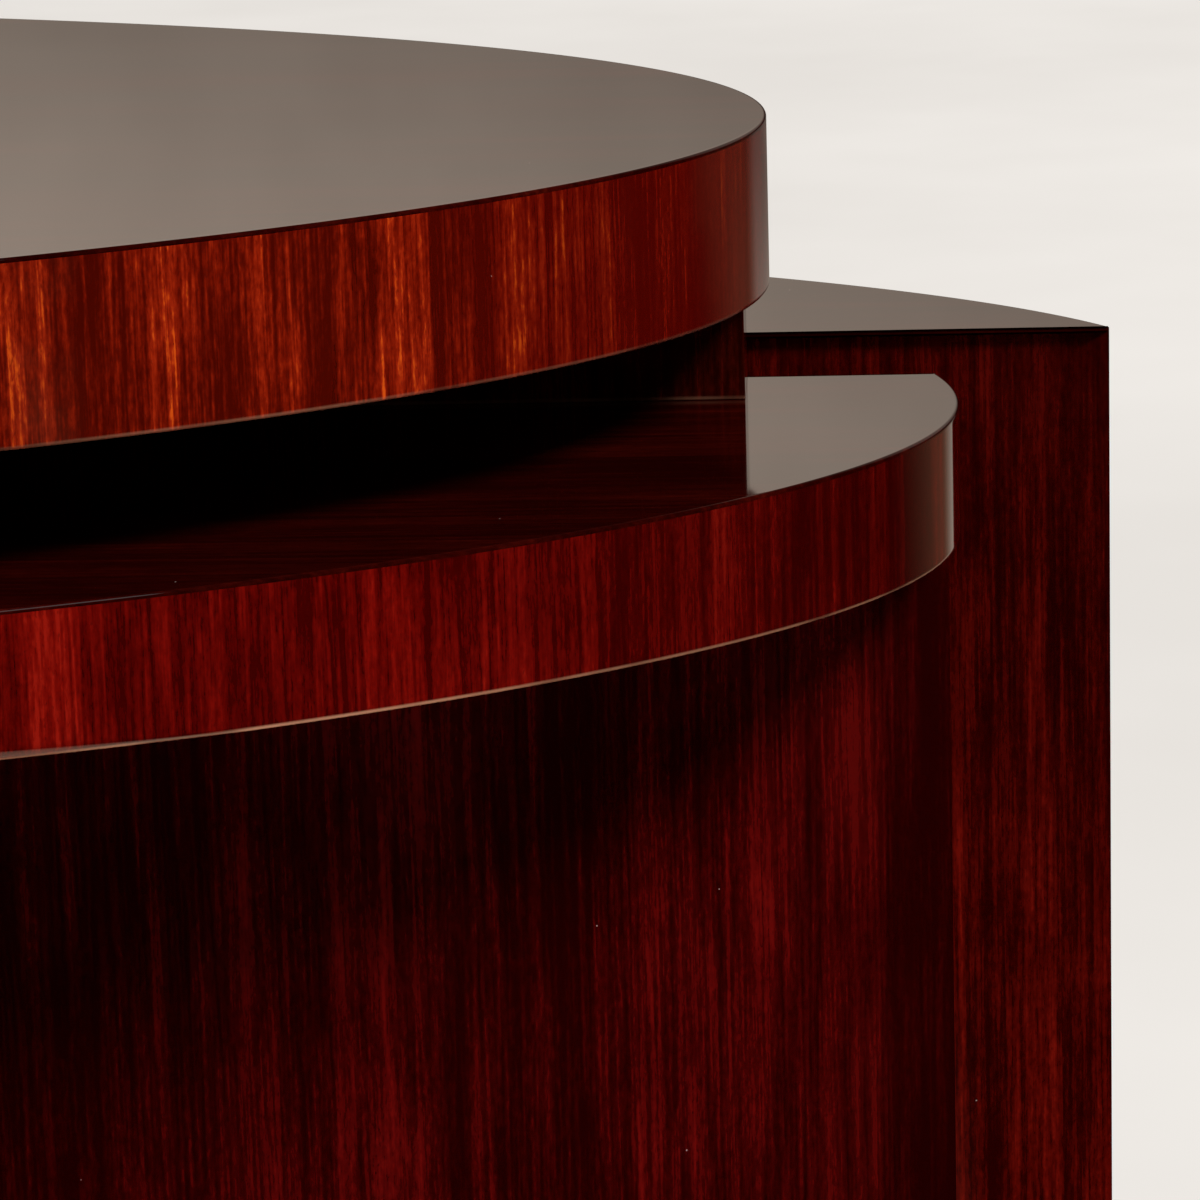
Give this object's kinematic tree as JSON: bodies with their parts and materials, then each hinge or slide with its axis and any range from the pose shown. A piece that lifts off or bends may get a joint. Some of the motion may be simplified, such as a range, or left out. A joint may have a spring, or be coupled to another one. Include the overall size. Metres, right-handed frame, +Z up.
{
  "type": "cocktail table",
  "caption": "Low oval cocktail table in high-gloss red-brown veneer: oval top on a recessed riser, over a bow-fronted base with a shelf and a separate bow-backed rear body.",
  "frame": {"origin": "on the floor, below the middle of the whole table", "axes": "+X along the length, +Y from the bowed front of the shelf to the bowed back of the rear body, +Z up"},
  "size_m": [1.5214, 0.5408, 0.43],
  "materials": {
    "polished_veneer": "high-gloss lacquer over straight-grained red-brown rosewood veneer",
    "dark_veneer": "high-gloss lacquer over dark red-brown rosewood veneer",
    "plywood": "sanded birch plywood",
    "beech": "planed beech",
    "steel": "zinc-plated steel",
    "brass_insert": "turned brass",
    "nylon": "moulded nylon"
  },
  "bodies": {
    "root": {"top_veneer": "polished_veneer", "top_edge_veneer": "polished_veneer", "shelf_veneer": "polished_veneer", "shelf_edge_veneer": "polished_veneer", "shelf_back_veneer": "polished_veneer", "front_veneer": "polished_veneer", "front_back_veneer": "polished_veneer", "rear_front_veneer": "polished_veneer", "rear_back_veneer": "polished_veneer", "rear_top_veneer": "polished_veneer", "top_underside_veneer": "dark_veneer", "riser_veneer": "dark_veneer", "riser_back_veneer": "dark_veneer", "spine_veneer": "dark_veneer", "top_panel": "plywood", "top_rim": "plywood", "top_underside": "plywood", "riser_back": "plywood", "shelf_panel": "plywood", "shelf_rim": "plywood", "shelf_underside": "plywood", "front_shell": "plywood", "front_back_panel": "plywood", "front_top_former": "plywood", "front_middle_former": "plywood", "front_bottom": "plywood", "front_uprights": "plywood", "rear_panel": "plywood", "rear_shell": "plywood", "rear_top": "plywood", "rear_middle_former": "plywood", "rear_bottom": "plywood", "rear_uprights": "plywood", "top_long_ribs": "beech", "top_cross_ribs": "beech", "top_bolt_blocks": "beech", "riser_rail": "beech", "riser_blocks": "beech", "riser_dowels": "beech", "shelf_back_rail": "beech", "shelf_ribs": "beech", "front_battens": "beech", "spine_posts": "beech", "rear_glue_blocks": "beech", "top_bolts": "steel", "top_washers": "steel", "body_bolts": "steel", "body_washers": "steel", "shelf_screws": "steel", "glide_nails": "steel", "top_inserts": "brass_insert", "glides": "nylon"}
  },
  "joints": []
}
